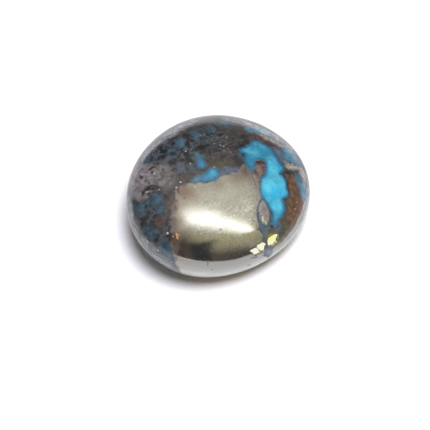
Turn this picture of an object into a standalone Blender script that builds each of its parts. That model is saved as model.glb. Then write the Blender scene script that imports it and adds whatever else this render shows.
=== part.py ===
"""A polished turquoise stone with pyrite: one natural piece, domed above and rounded below.

The stone is cut as a slightly uneven oval. Its dome is highest off the middle, towards one end, and
its belly is gently rounded and ground off to a small flat spot that it rests on. The origin is at
the middle of the stone's box, on the resting plane, with the long axis along X.
"""

import math

import bmesh
import bpy
from mathutils import Matrix, Vector

MM = 0.001

# The outline at the girdle, the widest ring
LONG_AXIS = 20.0 * MM
SHORT_AXIS = 18.5 * MM
LOBE_COUNT = 3
LOBE_SHARE = 0.0197
LOBE_AZIMUTH = math.radians(58.1)

# The dome above the girdle: higher exponents make it fuller
DOME_HEIGHT = 4.18 * MM
DOME_SPREAD = 3.09
DOME_SHOULDER = 1.7

# How far the crest lies off the girdle's middle, and the height over which the lean sets in
CREST_SHIFT = Vector((-2.91, 1.13)) * MM
LEAN_EASE = 1.06 * MM

# The belly below the girdle, and the share of its outline that the flat spot takes
BELLY_DEPTH = 3.19 * MM
BELLY_SPREAD = 2.8
BELLY_SHOULDER = 2.8
FLAT_SHARE = 0.4

# How finely the surface is divided
SEGMENTS = 72
RINGS = 42
PROBE_STEP = 1e-3

# Pits in the polished dome: azimuth and climb in degrees, radius and depth in metres. The climb is
# 0 at the girdle and 90 at the crest.
PITS = (
    (137.0, 60.0, 0.24 * MM, 0.20 * MM),
    (133.4, 61.6, 0.22 * MM, 0.18 * MM),
    (130.5, 63.6, 0.26 * MM, 0.22 * MM),
    (128.6, 66.4, 0.22 * MM, 0.18 * MM),
    (128.4, 69.8, 0.20 * MM, 0.15 * MM),
    (117.0, 55.3, 0.30 * MM, 0.24 * MM),
    (105.5, 61.8, 0.22 * MM, 0.16 * MM),
    (102.6, 64.2, 0.24 * MM, 0.18 * MM),
    (121.0, 62.2, 0.16 * MM, 0.12 * MM),
)
PIT_ROUNDNESS = 2

# Square notches that pyrite cubes leave in the polish near the girdle: azimuth and climb in
# degrees, edge and depth in metres, and the turn about the surface normal in degrees.
NOTCHES = (
    (249.8, 23.8, 0.80 * MM, 0.10 * MM, 12.0),
    (255.6, 25.6, 0.70 * MM, 0.09 * MM, 40.0),
    (265.0, 22.6, 0.90 * MM, 0.11 * MM, 25.0),
)
NOTCH_LEAN = math.radians(8.0)

# Mineral patches on the dome, as seen from above: middle and half-widths in metres, turn in degrees
PYRITE_PATCHES = (
    (Vector((-3.8, -2.3)) * MM, Vector((5.3, 4.7)) * MM, -38.0),
)
TURQUOISE_PATCHES = (
    (Vector((4.8, -1.2)) * MM, Vector((1.9, 1.5)) * MM, -20.0),
    (Vector((2.3, -4.9)) * MM, Vector((3.5, 1.3)) * MM, 49.0),
    (Vector((-1.2, 0.9)) * MM, Vector((1.5, 0.45)) * MM, -31.0),
    (Vector((-0.2, 2.6)) * MM, Vector((0.8, 0.35)) * MM, 39.0),
    (Vector((-8.0, 4.5)) * MM, Vector((0.8, 0.6)) * MM, 0.0),
    (Vector((-9.8, 0.6)) * MM, Vector((0.9, 1.2)) * MM, 10.0),
    (Vector((6.9, -4.0)) * MM, Vector((2.4, 0.6)) * MM, 65.0),
)

# Colour, metallic value and roughness of each mineral, in the order of the stone's material slots
MINERALS = {
    "dark_matrix": ((0.085, 0.070, 0.062), 0.0, 0.30),
    "pyrite": ((0.46, 0.41, 0.30), 1.0, 0.22),
    "turquoise": ((0.035, 0.36, 0.58), 0.0, 0.25),
}
SHARP_ANGLE = math.radians(35.0)


def outline_radius(azimuth):
    """Distance from the girdle's middle to its rim: an oval with three broad swellings."""
    half_long = LONG_AXIS / 2
    half_short = SHORT_AXIS / 2
    oval = half_long * half_short / math.hypot(
        half_short * math.cos(azimuth), half_long * math.sin(azimuth))
    return oval * (1 + LOBE_SHARE * math.cos(LOBE_COUNT * (azimuth - LOBE_AZIMUTH)))


def lean(height):
    """Sideways lean at a height: next to none in the belly, and the crest's whole shift at the top."""
    def ramp(value):
        return (value + math.hypot(value, LEAN_EASE)) / 2

    return CREST_SHIFT * (ramp(height) / ramp(DOME_HEIGHT))


def surface_point(azimuth, climb):
    """The stone's surface at an azimuth and a climb, from -90 degrees below to 90 at the crest."""
    if climb >= 0:
        spread, shoulder, reach = DOME_SPREAD, DOME_SHOULDER, DOME_HEIGHT
    else:
        spread, shoulder, reach = BELLY_SPREAD, BELLY_SHOULDER, -BELLY_DEPTH
    share = max(math.cos(climb), 0.0) ** (2 / spread)
    height = reach * abs(math.sin(climb)) ** (2 / shoulder)
    radius = share * outline_radius(azimuth)
    level_point = Vector((radius * math.cos(azimuth), radius * math.sin(azimuth), height))
    return level_point + lean(height).to_3d()


def surface_normal(azimuth, climb):
    """The outward normal, from two short steps along the surface."""
    along = surface_point(azimuth + PROBE_STEP, climb) - surface_point(azimuth - PROBE_STEP, climb)
    upward = surface_point(azimuth, climb + PROBE_STEP) - surface_point(azimuth, climb - PROBE_STEP)
    return along.cross(upward).normalized()


def flat_depth():
    """Depth below the girdle at which the belly has drawn in to the flat spot's share."""
    return BELLY_DEPTH * (1 - FLAT_SHARE ** BELLY_SPREAD) ** (1 / BELLY_SHOULDER)


def inside_patch(point, patches):
    """Whether a point lies in one of the elliptical patches, seen from above."""
    for middle, half_widths, turn in patches:
        offset = Matrix.Rotation(-math.radians(turn), 2) @ (point.to_2d() - middle)
        if (offset.x / half_widths.x) ** 2 + (offset.y / half_widths.y) ** 2 < 1:
            return True
    return False


def mineral_at(point):
    """The material slot of the mineral at a point of the surface."""
    slots = list(MINERALS)
    if point.z > 0 and inside_patch(point, TURQUOISE_PATCHES):
        return slots.index("turquoise")
    if point.z > -BELLY_DEPTH / 2 and inside_patch(point, PYRITE_PATCHES):
        return slots.index("pyrite")
    return slots.index("dark_matrix")


def make_material(name, colour, metallic, roughness):
    material = bpy.data.materials.new(name)
    material.use_nodes = True
    shader = material.node_tree.nodes["Principled BSDF"]
    shader.inputs["Base Color"].default_value = (*colour, 1.0)
    shader.inputs["Metallic"].default_value = metallic
    shader.inputs["Roughness"].default_value = roughness
    material.diffuse_color = (*colour, 1.0)
    return material


def make_stone():
    """The stone with its girdle at height 0, and the shift that brings its box onto the origin."""
    bm = bmesh.new()
    bmesh.ops.create_uvsphere(bm, u_segments=SEGMENTS, v_segments=RINGS, radius=1.0)
    for vertex in bm.verts:
        azimuth = math.atan2(vertex.co.y, vertex.co.x)
        climb = math.asin(max(-1.0, min(1.0, vertex.co.z)))
        vertex.co = surface_point(azimuth, climb)

    resting_height = -flat_depth()
    cut = bmesh.ops.bisect_plane(
        bm, geom=bm.verts[:] + bm.edges[:] + bm.faces[:], dist=1e-7,
        plane_co=(0, 0, resting_height), plane_no=(0, 0, -1), clear_outer=True)
    rim = [item for item in cut["geom_cut"] if isinstance(item, bmesh.types.BMEdge)]
    bmesh.ops.edgeloop_fill(bm, edges=rim)
    bmesh.ops.recalc_face_normals(bm, faces=bm.faces)

    for face in bm.faces:
        face.material_index = mineral_at(face.calc_center_median())

    middles = []
    for axis in (0, 1):
        reach = [vertex.co[axis] for vertex in bm.verts]
        middles.append((min(reach) + max(reach)) / 2)
    shift = Vector((-middles[0], -middles[1], -resting_height))
    bmesh.ops.translate(bm, verts=bm.verts, vec=shift)

    mesh = bpy.data.meshes.new("turquoise_stone")
    bm.to_mesh(mesh)
    bm.free()
    mesh.shade_smooth()
    mesh.set_sharp_from_angle(angle=SHARP_ANGLE)
    for name, (colour, metallic, roughness) in MINERALS.items():
        mesh.materials.append(make_material(name, colour, metallic, roughness))
    stone = bpy.data.objects.new("turquoise_stone", mesh)
    bpy.context.scene.collection.objects.link(stone)
    return stone, shift


def cut_from(stone, name, bm, placement):
    """Takes a cutter, made from bm and set by the placement matrix, out of the stone."""
    mesh = bpy.data.meshes.new(name)
    bm.to_mesh(mesh)
    bm.free()
    mesh.transform(placement)
    cutter = bpy.data.objects.new(name, mesh)
    bpy.context.scene.collection.objects.link(cutter)
    cutter.hide_render = True
    cutter.display_type = "WIRE"
    modifier = stone.modifiers.new(name, "BOOLEAN")
    modifier.operation = "DIFFERENCE"
    modifier.solver = "EXACT"
    modifier.object = cutter


def cut_pits(stone, shift):
    """Rounded pits, each a ball sunk to its depth along the surface normal."""
    for number, (azimuth, climb, radius, depth) in enumerate(PITS, start=1):
        azimuth = math.radians(azimuth)
        climb = math.radians(climb)
        rise = surface_normal(azimuth, climb) * (radius - depth)
        centre = surface_point(azimuth, climb) + shift + rise
        bm = bmesh.new()
        bmesh.ops.create_icosphere(bm, subdivisions=PIT_ROUNDNESS, radius=radius)
        cut_from(stone, f"pit_cutter_{number}", bm, Matrix.Translation(centre))


def cut_notches(stone, shift):
    """Flat-floored notches, each a cube sunk to its depth and leaned slightly off the surface."""
    for number, (azimuth, climb, edge, depth, turn) in enumerate(NOTCHES, start=1):
        azimuth = math.radians(azimuth)
        climb = math.radians(climb)
        normal = surface_normal(azimuth, climb)
        centre = surface_point(azimuth, climb) + shift + normal * (edge / 2 - depth)
        stand = normal.to_track_quat("Z", "Y").to_matrix().to_4x4()
        spin = Matrix.Rotation(math.radians(turn), 4, "Z") @ Matrix.Rotation(NOTCH_LEAN, 4, "X")
        bm = bmesh.new()
        bmesh.ops.create_cube(bm, size=edge)
        cut_from(stone, f"notch_cutter_{number}", bm, Matrix.Translation(centre) @ stand @ spin)


def main():
    for leftover in list(bpy.data.objects):
        bpy.data.objects.remove(leftover, do_unlink=True)
    stone, shift = make_stone()
    cut_pits(stone, shift)
    cut_notches(stone, shift)


main()
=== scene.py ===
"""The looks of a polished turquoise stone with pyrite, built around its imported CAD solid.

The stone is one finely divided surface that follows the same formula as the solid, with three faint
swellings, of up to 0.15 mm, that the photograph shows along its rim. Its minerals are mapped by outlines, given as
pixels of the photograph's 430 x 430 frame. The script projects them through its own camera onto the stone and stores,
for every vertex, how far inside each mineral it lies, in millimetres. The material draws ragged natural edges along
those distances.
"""

import math

import bpy
import numpy as np
from mathutils import Matrix, Vector
from mathutils.bvhtree import BVHTree


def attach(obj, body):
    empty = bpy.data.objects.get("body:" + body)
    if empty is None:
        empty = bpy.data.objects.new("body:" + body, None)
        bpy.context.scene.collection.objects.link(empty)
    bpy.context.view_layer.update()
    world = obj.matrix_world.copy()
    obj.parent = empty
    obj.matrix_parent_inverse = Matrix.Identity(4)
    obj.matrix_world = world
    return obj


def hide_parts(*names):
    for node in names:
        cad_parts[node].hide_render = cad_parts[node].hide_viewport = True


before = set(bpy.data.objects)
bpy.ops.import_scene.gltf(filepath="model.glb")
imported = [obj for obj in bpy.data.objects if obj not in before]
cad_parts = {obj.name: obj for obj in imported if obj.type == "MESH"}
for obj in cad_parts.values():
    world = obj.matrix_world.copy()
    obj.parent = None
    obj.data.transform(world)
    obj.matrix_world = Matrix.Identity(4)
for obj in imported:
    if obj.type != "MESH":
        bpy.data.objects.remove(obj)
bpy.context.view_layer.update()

MM = 0.001
STONE_NODE = "turquoise_stone"

# The stone's real size, as in its CAD source
LONG_AXIS = 20.0 * MM
SHORT_AXIS = 18.5 * MM
LOBE_COUNT = 3
LOBE_SHARE = 0.0197
LOBE_AZIMUTH = math.radians(58.1)
DOME_HEIGHT = 4.18 * MM
DOME_SPREAD = 3.09
DOME_SHOULDER = 1.7
CREST_SHIFT = np.array((-2.91, 1.13)) * MM
LEAN_EASE = 1.06 * MM
BELLY_DEPTH = 3.19 * MM
BELLY_SPREAD = 2.8
BELLY_SHOULDER = 2.8
FLAT_SHARE = 0.4

# Faint swellings of the outline: azimuth, width, and height as a share of the radius
SWELLINGS = (
    (math.radians(187.0), math.radians(38.0), 0.013),
    (math.radians(111.0), math.radians(22.0), 0.012),
    (math.radians(-23.5), math.radians(25.0), 0.015),
)

# How finely the visible surface is divided
AZIMUTH_STEPS = 560
DOME_RINGS = 118
BELLY_RINGS = 46

# The photograph: its size in pixels, where the girdle's middle is seen, and how the camera stood
PHOTO_SIZE = 430
FOCAL_PIXELS = 2000.0
PIXEL = LONG_AXIS / 188.2
GIRDLE_PIXEL = (220.9, 192.2)
MIDDLE_PIXEL = (218.0, 196.0)
CAMERA_ELEVATION = math.radians(60.0)
CAMERA_TURN = math.radians(51.8)
SENSOR_WIDTH = 36.0

# The room, in a frame with x to the photograph's right, y away from the camera and z up
FLOOR_SIDE = 8.0
FLOOR_ALBEDO = 0.88
FILL_HEIGHT = 3.0
FILL_PLACE = (0.42, -0.15)
FILL_WIDTH = 1.58
FILL_RADIANCE = 16.5
FILL_COLOUR = (0.97, 0.98, 1.08)
ROOM_FLOOR = (0.13, 0.12, 0.12, 1.0)
ROOM_WALL = (0.25, 0.235, 0.23, 1.0)
ROOM_CEILING = (0.94, 0.89, 0.76, 1.0)
ROOM_FRONT_LOW = (0.14, 0.12, 0.11, 1.0)
ROOM_FRONT_HIGH = (0.71, 0.66, 0.43, 1.0)
ROOM_RIGHT = (0.30, 0.23, 0.18, 1.0)
ROOM_BLOT = (0.05, 0.05, 0.06, 1.0)
ROOM_SHEET = (1.1, 1.1, 1.1, 1.0)

# The bent strip of light: places are tangents of the angle from straight overhead
STRIP_END = 1.5
STRIP_DROP = -0.385
STRIP_BEND = 0.68
STRIP_SPREAD = 0.23
STRIP_LEFT = (2.6, 2.6, 2.55, 1.0)
STRIP_RIGHT = (2.7, 2.66, 2.5, 1.0)

# What a level white surface sends back, and what polish adds to every colour
EXPOSURE = 1.38
SHEEN = 0.012

# How far from an outline distances are still told apart, in millimetres
FAR = -3.0

# How the rim's streaks are drawn out along x, y and z
STREAK_STRETCH = (0.4, 0.4, 1.8)

# Where the side that the photograph hides begins and ends, as shares of the normal towards the camera
HIDDEN_SIDE = (0.10, -0.20)

# Relief: pits, the hand polish's faint waves, and where the crystals' facets mirror the room, as
# azimuth and elevation in the room's frame
PIT_DEPTH = 0.16 * MM
PIT_SLOPE = 0.2
RIPPLE_SEED = 7
RIPPLE_WAVES = 14
RIPPLE_LENGTHS = (2.0 * MM, 5.0 * MM)
RIPPLE_SLOPE = 0.008
# Upward shares of the normal between which the pyrite changes: darker on the steep side, brighter again
# at the rim as a painted reflection of the lit white sheet, and brown on the belly
STEEP_SIDE = (0.66, 0.52)
STEEP_RIM = (0.48, -0.2)
BELLY = (-0.5, -0.7)
FACET_MIRRORS = (
    (math.radians(-42), math.radians(-7)),
    (math.radians(-36), math.radians(-6)),
    (math.radians(-26), math.radians(-6)),
)

# Closed outlines of the minerals, in pixels of the photograph
TURQUOISE = (
    # The large arch at the right, from its left tip clockwise
    ((239.5, 149.6), (244.5, 146.8), (248.5, 144.6), (252.5, 141.2), (257.5, 140.6), (262.5, 143.2),
     (269.2, 147.4), (274.2, 153.0), (277.6, 158.4), (280.8, 163.6), (284.3, 167.8), (282.4, 171.2),
     (281.4, 173.8), (284.8, 176.4), (287.2, 181.5), (287.4, 187.6), (289.4, 192.8), (288.0, 196.6),
     (283.8, 199.2), (284.8, 205.2), (285.2, 210.0), (283.0, 214.4), (282.4, 217.6), (279.4, 219.4),
     (276.2, 225.2), (273.0, 223.6), (271.8, 218.2), (272.4, 213.0), (269.4, 208.6), (266.4, 203.9),
     (263.2, 199.0), (260.6, 195.4), (259.6, 190.0), (259.8, 184.0), (260.2, 178.8), (263.6, 175.6),
     (265.8, 171.0), (265.8, 165.0), (264.0, 160.6), (260.8, 159.0), (257.4, 159.8), (255.6, 164.0),
     (254.8, 168.6), (251.6, 172.6), (249.6, 169.4), (247.2, 164.6), (244.4, 160.2), (245.6, 154.2),
     (242.6, 153.0)),
    # Two patches above the left part of the pyrite
    ((198.6, 157.0), (202.4, 159.4), (206.2, 164.4), (204.8, 167.4), (200.5, 168.2), (197.4, 165.0),
     (197.6, 160.6)),
    ((201.0, 178.4), (203.4, 175.0), (207.4, 171.4), (210.2, 167.8), (214.2, 168.0),
     (218.4, 170.8), (219.6, 175.4), (215.6, 180.0), (209.6, 181.0), (203.0, 181.6)),
)
DULL_TURQUOISE = (
    # The faded tail at the left of the middle patch
    ((190.6, 179.6), (196.3, 176.6), (201.8, 174.8), (206.4, 173.4), (207.0, 180.0), (200.8, 182.4),
     (192.4, 183.0)),
    # Small patches in the dark matrix
    ((176.2, 140.4), (181.6, 138.8), (184.8, 142.0), (182.6, 147.6), (178.6, 148.2), (178.4, 144.8)),
    ((191.6, 131.6), (195.4, 131.0), (198.8, 135.0), (197.4, 140.4), (194.6, 138.4)),
    ((193.4, 151.4), (199.0, 152.0), (203.6, 157.0), (198.6, 158.6), (195.0, 156.4)),
    # Patches along the right rim
    ((280.0, 147.0), (288.0, 147.6), (296.6, 155.0), (302.0, 163.4), (302.6, 167.0), (295.2, 165.0),
     (287.4, 161.8), (282.0, 155.0)),
    ((294.4, 173.4), (298.4, 173.0), (303.4, 180.4), (309.0, 190.0), (309.4, 204.0), (304.4, 206.0),
     (301.4, 196.4), (297.6, 185.6)),
    ((243.6, 128.6), (249.4, 126.6), (257.6, 126.0), (268.0, 129.6), (276.0, 135.8), (268.6, 135.4),
     (258.4, 132.8), (249.0, 132.2)),
)
TEAL = (
    ((143.6, 156.0), (148.6, 152.6), (152.4, 155.4), (151.0, 161.6), (146.2, 164.4), (142.6, 161.6)),
    ((133.0, 204.0), (139.4, 203.4), (146.6, 201.6), (146.4, 206.0), (143.0, 212.6), (137.0, 215.8),
     (133.8, 210.4)),
    ((152.0, 195.6), (157.4, 192.6), (162.0, 195.6), (165.4, 203.0), (163.6, 211.4), (157.0, 213.0),
     (152.6, 206.6), (149.6, 199.0)),
    ((144.8, 225.6), (150.6, 226.4), (156.6, 231.0), (156.0, 238.0), (150.0, 238.6), (145.4, 233.0)),
    ((160.6, 243.0), (166.4, 240.8), (171.6, 244.6), (172.6, 252.4), (167.0, 255.0), (160.6, 250.6)),
    ((167.0, 148.4), (174.6, 148.2), (176.0, 154.4), (169.6, 156.0)),
    ((219.0, 121.6), (229.0, 121.0), (236.0, 124.6), (228.0, 128.0), (220.0, 126.4)),
    ((204.8, 127.4), (210.6, 125.6), (216.0, 129.4), (211.4, 133.6), (205.2, 132.0)),
    ((190.0, 160.0), (196.0, 166.0), (198.0, 172.0), (192.0, 174.0), (187.0, 168.0)),
    ((239.0, 153.0), (245.0, 154.0), (249.0, 166.0), (251.0, 174.0), (246.0, 168.0), (241.4, 161.0)),
)
SLATE = (
    # The violet tail of the middle turquoise, and patches at the left, below and beside the vein
    ((216.6, 169.0), (222.6, 166.6), (230.0, 165.4), (238.6, 168.0), (241.2, 171.0), (233.0, 173.4),
     (224.4, 175.0), (219.0, 177.6)),
    ((177.4, 165.4), (181.6, 164.6), (183.4, 168.4), (180.6, 171.6), (177.4, 170.2)),
    ((164.4, 254.4), (171.6, 255.2), (176.6, 260.0), (175.6, 267.6), (169.0, 265.6), (163.4, 259.8)),
    ((265.0, 248.2), (270.4, 247.2), (273.6, 251.6), (270.6, 257.0), (265.0, 256.0)),
    ((272.6, 221.6), (279.6, 222.6), (282.6, 228.6), (276.4, 231.6), (271.6, 228.0)),
    ((269.6, 146.0), (277.4, 148.0), (283.4, 155.0), (286.4, 163.0), (282.0, 163.0), (276.4, 154.6)),
)
PURPLE_GREY = (
    ((133.8, 168.6), (141.0, 163.4), (150.4, 164.0), (160.0, 163.4), (167.0, 166.0), (173.4, 171.4),
     (175.0, 177.0), (173.6, 184.0), (168.0, 187.6), (161.6, 188.8), (152.4, 191.0), (147.0, 199.6),
     (139.6, 201.6), (131.6, 197.0), (128.8, 186.0), (130.0, 176.0)),
)
RED_BROWN = (
    ((154.4, 217.6), (160.0, 215.6), (164.6, 219.6), (163.0, 226.0), (157.0, 227.6), (153.4, 223.0)),
    ((249.4, 131.6), (256.0, 134.4), (263.6, 139.2), (272.8, 144.4), (275.0, 148.6), (268.4, 146.6),
     (260.6, 142.6), (252.4, 139.6)),
    ((167.4, 198.6), (173.0, 197.4), (177.0, 203.6), (176.4, 213.0), (170.6, 215.4), (167.4, 208.0)),
)
LIMONITE = (
    ((285.0, 173.6), (289.4, 173.4), (294.4, 176.4), (299.4, 186.0), (304.0, 197.6), (303.6, 211.0),
     (299.4, 221.0), (294.0, 229.6), (288.6, 224.6), (285.4, 216.6), (286.4, 208.0), (285.6, 200.6),
     (289.4, 196.4), (288.0, 188.6), (286.6, 180.6)),
)
OLIVE = (
    ((213.6, 161.0), (222.0, 160.4), (230.4, 158.8), (232.4, 163.6), (226.4, 167.4), (218.0, 168.0),
     (212.0, 166.6)),
    ((271.0, 221.6), (280.4, 219.4), (289.6, 221.0), (293.0, 231.0), (287.0, 241.0), (279.0, 248.4),
     (268.4, 246.4), (269.0, 236.0), (268.0, 228.6)),
    ((243.0, 246.0), (251.0, 242.6), (259.0, 238.6), (264.0, 242.6), (259.0, 247.0), (251.6, 249.6),
     (246.6, 251.6)),
)
BROWN = (
    # Inside the arch, between the crack and the turquoise, and in the vein's lens, where it is also a painted
    # reflection
    ((252.4, 171.0), (255.6, 164.0), (257.4, 160.0), (264.0, 160.6), (265.8, 166.0), (265.0, 172.0),
     (261.6, 176.4), (259.8, 182.0), (259.8, 191.0), (257.8, 190.0), (255.4, 183.0), (251.6, 176.0)),
    ((262.4, 202.6), (265.0, 205.6), (267.6, 210.6), (268.4, 216.0), (266.6, 220.0), (262.6, 216.0),
     (261.0, 209.0)),
)
TAN = (
    ((256.0, 132.6), (266.6, 136.0), (275.6, 140.8), (284.4, 147.4), (280.0, 147.0), (272.0, 142.8),
     (263.6, 138.2)),
    ((297.8, 165.0), (301.4, 167.0), (305.6, 174.6), (307.4, 183.6), (304.4, 181.4), (299.8, 174.4)),
    ((284.6, 160.6), (290.6, 163.0), (298.6, 166.0), (298.0, 170.2), (290.6, 170.0), (285.0, 166.0)),
)
PYRITE = (
    # The large field, from its upper left corner clockwise, running over the lower rim
    ((177.0, 191.4), (183.0, 187.0), (190.0, 184.4), (200.0, 183.6), (210.0, 182.4), (217.0, 180.6),
     (223.0, 176.4), (231.0, 174.4), (238.6, 173.0), (242.0, 168.0), (245.4, 165.6), (249.0, 170.0),
     (252.0, 175.0), (256.6, 178.0), (258.6, 184.0), (259.0, 191.0), (261.0, 197.0), (258.4, 202.0),
     (256.6, 209.0), (256.6, 217.0), (258.4, 223.6), (259.4, 230.0), (262.0, 236.0), (259.4, 243.0),
     (256.0, 249.0), (262.6, 251.6), (264.8, 257.0), (267.0, 262.0), (262.0, 270.0), (245.0, 290.0), (205.0, 296.0),
     (183.0, 282.0), (177.6, 268.0), (176.0, 258.0), (173.4, 250.0), (172.8, 240.0), (172.6, 230.0),
     (173.4, 220.0), (175.4, 210.0), (177.0, 200.0)),
    # The rim at the lower right
    ((273.4, 247.4), (278.0, 244.6), (283.2, 240.0), (290.4, 232.0), (296.8, 222.4), (302.2, 212.0),
     (305.0, 200.4), (310.0, 196.0), (318.0, 210.0), (306.0, 240.0), (280.0, 266.0), (262.0, 276.0),
     (264.0, 262.0), (264.6, 256.6), (268.6, 257.4), (272.6, 253.0)),
    # The lens between the two arms of the vein
    ((262.4, 200.6), (265.4, 203.6), (268.4, 209.0), (269.6, 215.0), (268.6, 221.6), (265.6, 224.6),
     (261.8, 221.0), (259.8, 214.6), (259.8, 207.0)),
)
CRYSTALS = (
    ((249.8, 251.0), (253.8, 247.2), (257.6, 248.8), (260.2, 253.6), (255.4, 255.8)),
    ((257.0, 246.2), (259.8, 241.6), (266.0, 244.2), (265.2, 250.6), (262.0, 252.4), (258.8, 249.4)),
    ((267.8, 240.4), (270.2, 234.6), (278.4, 234.8), (277.2, 242.0), (272.2, 246.6), (268.6, 245.6)),
)

# Curves with a half-width at each point: x, y and half-width in pixels
VEINS = (
    ((262.6, 198.0, 0.8), (259.4, 202.6, 0.9), (257.2, 208.6, 1.0), (257.0, 215.6, 1.1),
     (258.8, 221.8, 1.4), (262.2, 226.6, 2.4), (265.0, 231.0, 3.2), (264.8, 236.0, 2.2),
     (263.0, 241.0, 1.6)),
    ((262.6, 198.0, 0.6), (266.8, 204.4, 0.7), (269.8, 211.0, 0.7), (270.4, 218.0, 0.8),
     (268.4, 224.6, 1.2), (266.0, 229.0, 2.0)),
    ((265.6, 229.6, 2.0), (270.4, 227.0, 1.8), (274.0, 226.6, 1.0)),
    ((264.0, 241.0, 1.0), (267.4, 243.0, 0.9), (268.4, 247.0, 0.8)),
)
CRACKS = (
    ((250.8, 173.4, 0.5), (253.4, 179.0, 0.65), (255.2, 184.0, 0.65), (257.4, 190.6, 0.5)),
    ((208.2, 261.0, 0.4), (207.6, 266.0, 0.3)),
)
PAINTED_RIM_REFLECTION = (
    # Pale stretches of the rim: a painted reflection of the white sheet
    ((139.0, 163.0, 1.0), (144.0, 156.0, 2.0), (152.0, 147.0, 3.5),
     (162.0, 139.0, 5.0), (172.0, 132.0, 6.0), (182.0, 126.0, 5.5), (194.0, 121.0, 3.5)),
    ((226.0, 118.6, 1.2), (238.0, 120.6, 2.6), (249.0, 123.8, 3.2), (260.0, 128.5, 3.2),
     (274.0, 136.0, 4.5), (284.0, 142.5, 5.0), (293.5, 151.0, 2.2)),
    ((306.4, 176.0, 1.5), (307.8, 183.0, 4.0), (308.6, 195.0, 3.0), (307.0, 208.0, 3.5),
     (302.0, 222.0, 4.5), (293.0, 237.0, 4.0), (283.0, 248.0, 3.0), (270.0, 258.0, 1.5)),
    ((128.6, 200.0, 1.2), (129.8, 212.0, 2.2), (132.4, 223.0, 2.4), (139.0, 237.0, 3.5), (147.0, 247.0, 4.0), (155.0, 255.0, 4.5),
     (163.0, 262.0, 4.5), (172.0, 269.0, 3.5)),
)
# Pits: sunk into the surface and painted dark inside as shade
PITS = (
    ((142.2, 195.4, 1.2), (142.8, 191.2, 2.0), (145.8, 188.4, 2.7), (150.0, 187.2, 3.0),
     (155.0, 187.0, 2.6), (159.6, 187.0, 1.2)),
    ((148.6, 194.0, 2.1),), ((152.8, 191.6, 1.0),),
    ((138.8, 174.8, 0.6), (141.0, 177.6, 1.6), (143.6, 175.6, 0.7)),
    ((145.0, 180.8, 1.2),),
    ((149.6, 168.8, 1.8), (151.8, 167.0, 1.5), (154.8, 166.6, 0.8)),
    ((151.6, 171.8, 1.8),), ((156.4, 176.0, 0.9),), ((171.0, 170.0, 0.8),),
)
BLACK_SPOTS = (
    ((158.0, 163.6, 1.6), (153.6, 163.6, 1.4)), ((163.6, 156.8, 2.6),), ((172.6, 153.6, 2.4),), ((166.0, 150.0, 1.6),),
    ((181.4, 148.8, 1.8),), ((192.8, 140.6, 2.0),), ((187.0, 143.6, 2.4), (190.0, 147.0, 1.6)),
    ((152.0, 150.6, 1.4),), ((178.6, 157.0, 1.6),), ((183.0, 160.0, 1.8),), ((201.4, 153.0, 1.6),),
    ((207.6, 135.0, 1.6),), ((173.0, 143.0, 1.6),), ((162.6, 169.8, 0.9),), ((163.4, 176.6, 0.9),),
    ((171.6, 176.4, 0.8),), ((169.2, 180.0, 0.9),), ((148.8, 183.2, 0.8),), ((184.7, 198.0, 0.8),),
    ((220.8, 229.6, 0.9),), ((146.0, 206.6, 1.6),), ((153.8, 209.0, 1.4),), ((137.6, 203.0, 1.0),),
    ((280.4, 173.4, 0.9),), ((273.6, 168.4, 0.8),), ((242.6, 145.4, 1.6), (246.6, 146.6, 0.6)),
    ((283.6, 174.4, 0.7), (286.6, 181.0, 1.1), (288.2, 188.0, 1.3), (289.6, 194.0, 0.9)),
    ((284.6, 199.0, 1.0),), ((272.0, 226.6, 1.6),), ((257.4, 162.6, 1.5), (260.6, 161.4, 1.8), (264.0, 163.6, 1.4)),
    ((186.0, 154.0, 2.6), (190.4, 162.0, 2.6)), ((201.0, 147.4, 2.6), (208.0, 145.6, 2.2)),
    ((286.0, 172.6, 1.4), (290.4, 173.6, 1.2)),
    ((257.6, 229.6, 1.4),), ((243.4, 154.6, 1.0),),
    ((252.6, 257.8, 0.7), (257.0, 257.0, 0.5)), ((212.4, 270.0, 0.5),), ((249.2, 265.2, 0.9),),
)
# Painted glints: small bright points where grains, the vein's lens and the pits' rims catch the light
PAINTED_GLINTS = (
    ((180.5, 182.0, 0.9),), ((176.4, 187.6, 0.9),), ((194.4, 186.8, 0.6),), ((214.2, 167.4, 0.7),),
    ((167.5, 233.2, 1.0),), ((201.0, 135.4, 0.4),), ((154.4, 173.4, 0.7),), ((146.6, 191.8, 0.7),),
    ((159.2, 189.4, 0.45),), ((248.5, 192.8, 0.4),), ((241.0, 200.2, 0.4),), ((295.5, 209.0, 0.7),),
    ((290.8, 166.6, 1.1),), ((293.9, 167.2, 0.9),), ((296.6, 166.0, 0.6),), ((286.6, 158.0, 0.4),),
    ((288.4, 164.4, 0.9),), ((292.4, 164.6, 1.0),), ((298.6, 168.0, 0.8),), ((289.8, 169.2, 0.6),),
    ((226.0, 144.4, 0.4),), ((224.2, 150.6, 0.4),), ((219.6, 142.0, 0.4),), ((230.6, 152.0, 0.4),),
    ((218.0, 132.4, 0.4),), ((246.2, 145.4, 0.4),), ((171.8, 262.0, 0.7),), ((158.0, 250.6, 0.8),),
    ((147.4, 241.6, 0.8),), ((190.4, 163.6, 0.7),), ((185.6, 151.4, 0.6),), ((279.4, 228.4, 0.4),),
    ((262.6, 216.8, 0.7), (263.2, 221.0, 0.9)), ((265.4, 221.6, 0.7), (266.2, 223.6, 0.6)),
    ((296.6, 202.0, 0.4),),
)
COPPER = (
    ((177.0, 235.4, 4.4), (175.0, 242.0, 3.6), (175.6, 249.0, 2.6)),
)
# Orange-gold grains: their own colour, painted bright as glints
COPPER_PAINTED_GLINTS = (
    ((176.4, 233.6, 0.8), (177.6, 238.4, 0.8)), ((178.8, 235.0, 0.7),), ((173.0, 236.6, 0.7),),
    ((291.6, 205.6, 0.5),), ((293.4, 208.4, 0.4),), ((290.6, 211.0, 0.5),), ((294.6, 213.6, 0.4),),
    ((287.6, 213.0, 0.4),), ((289.4, 208.0, 0.4),),
)

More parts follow.
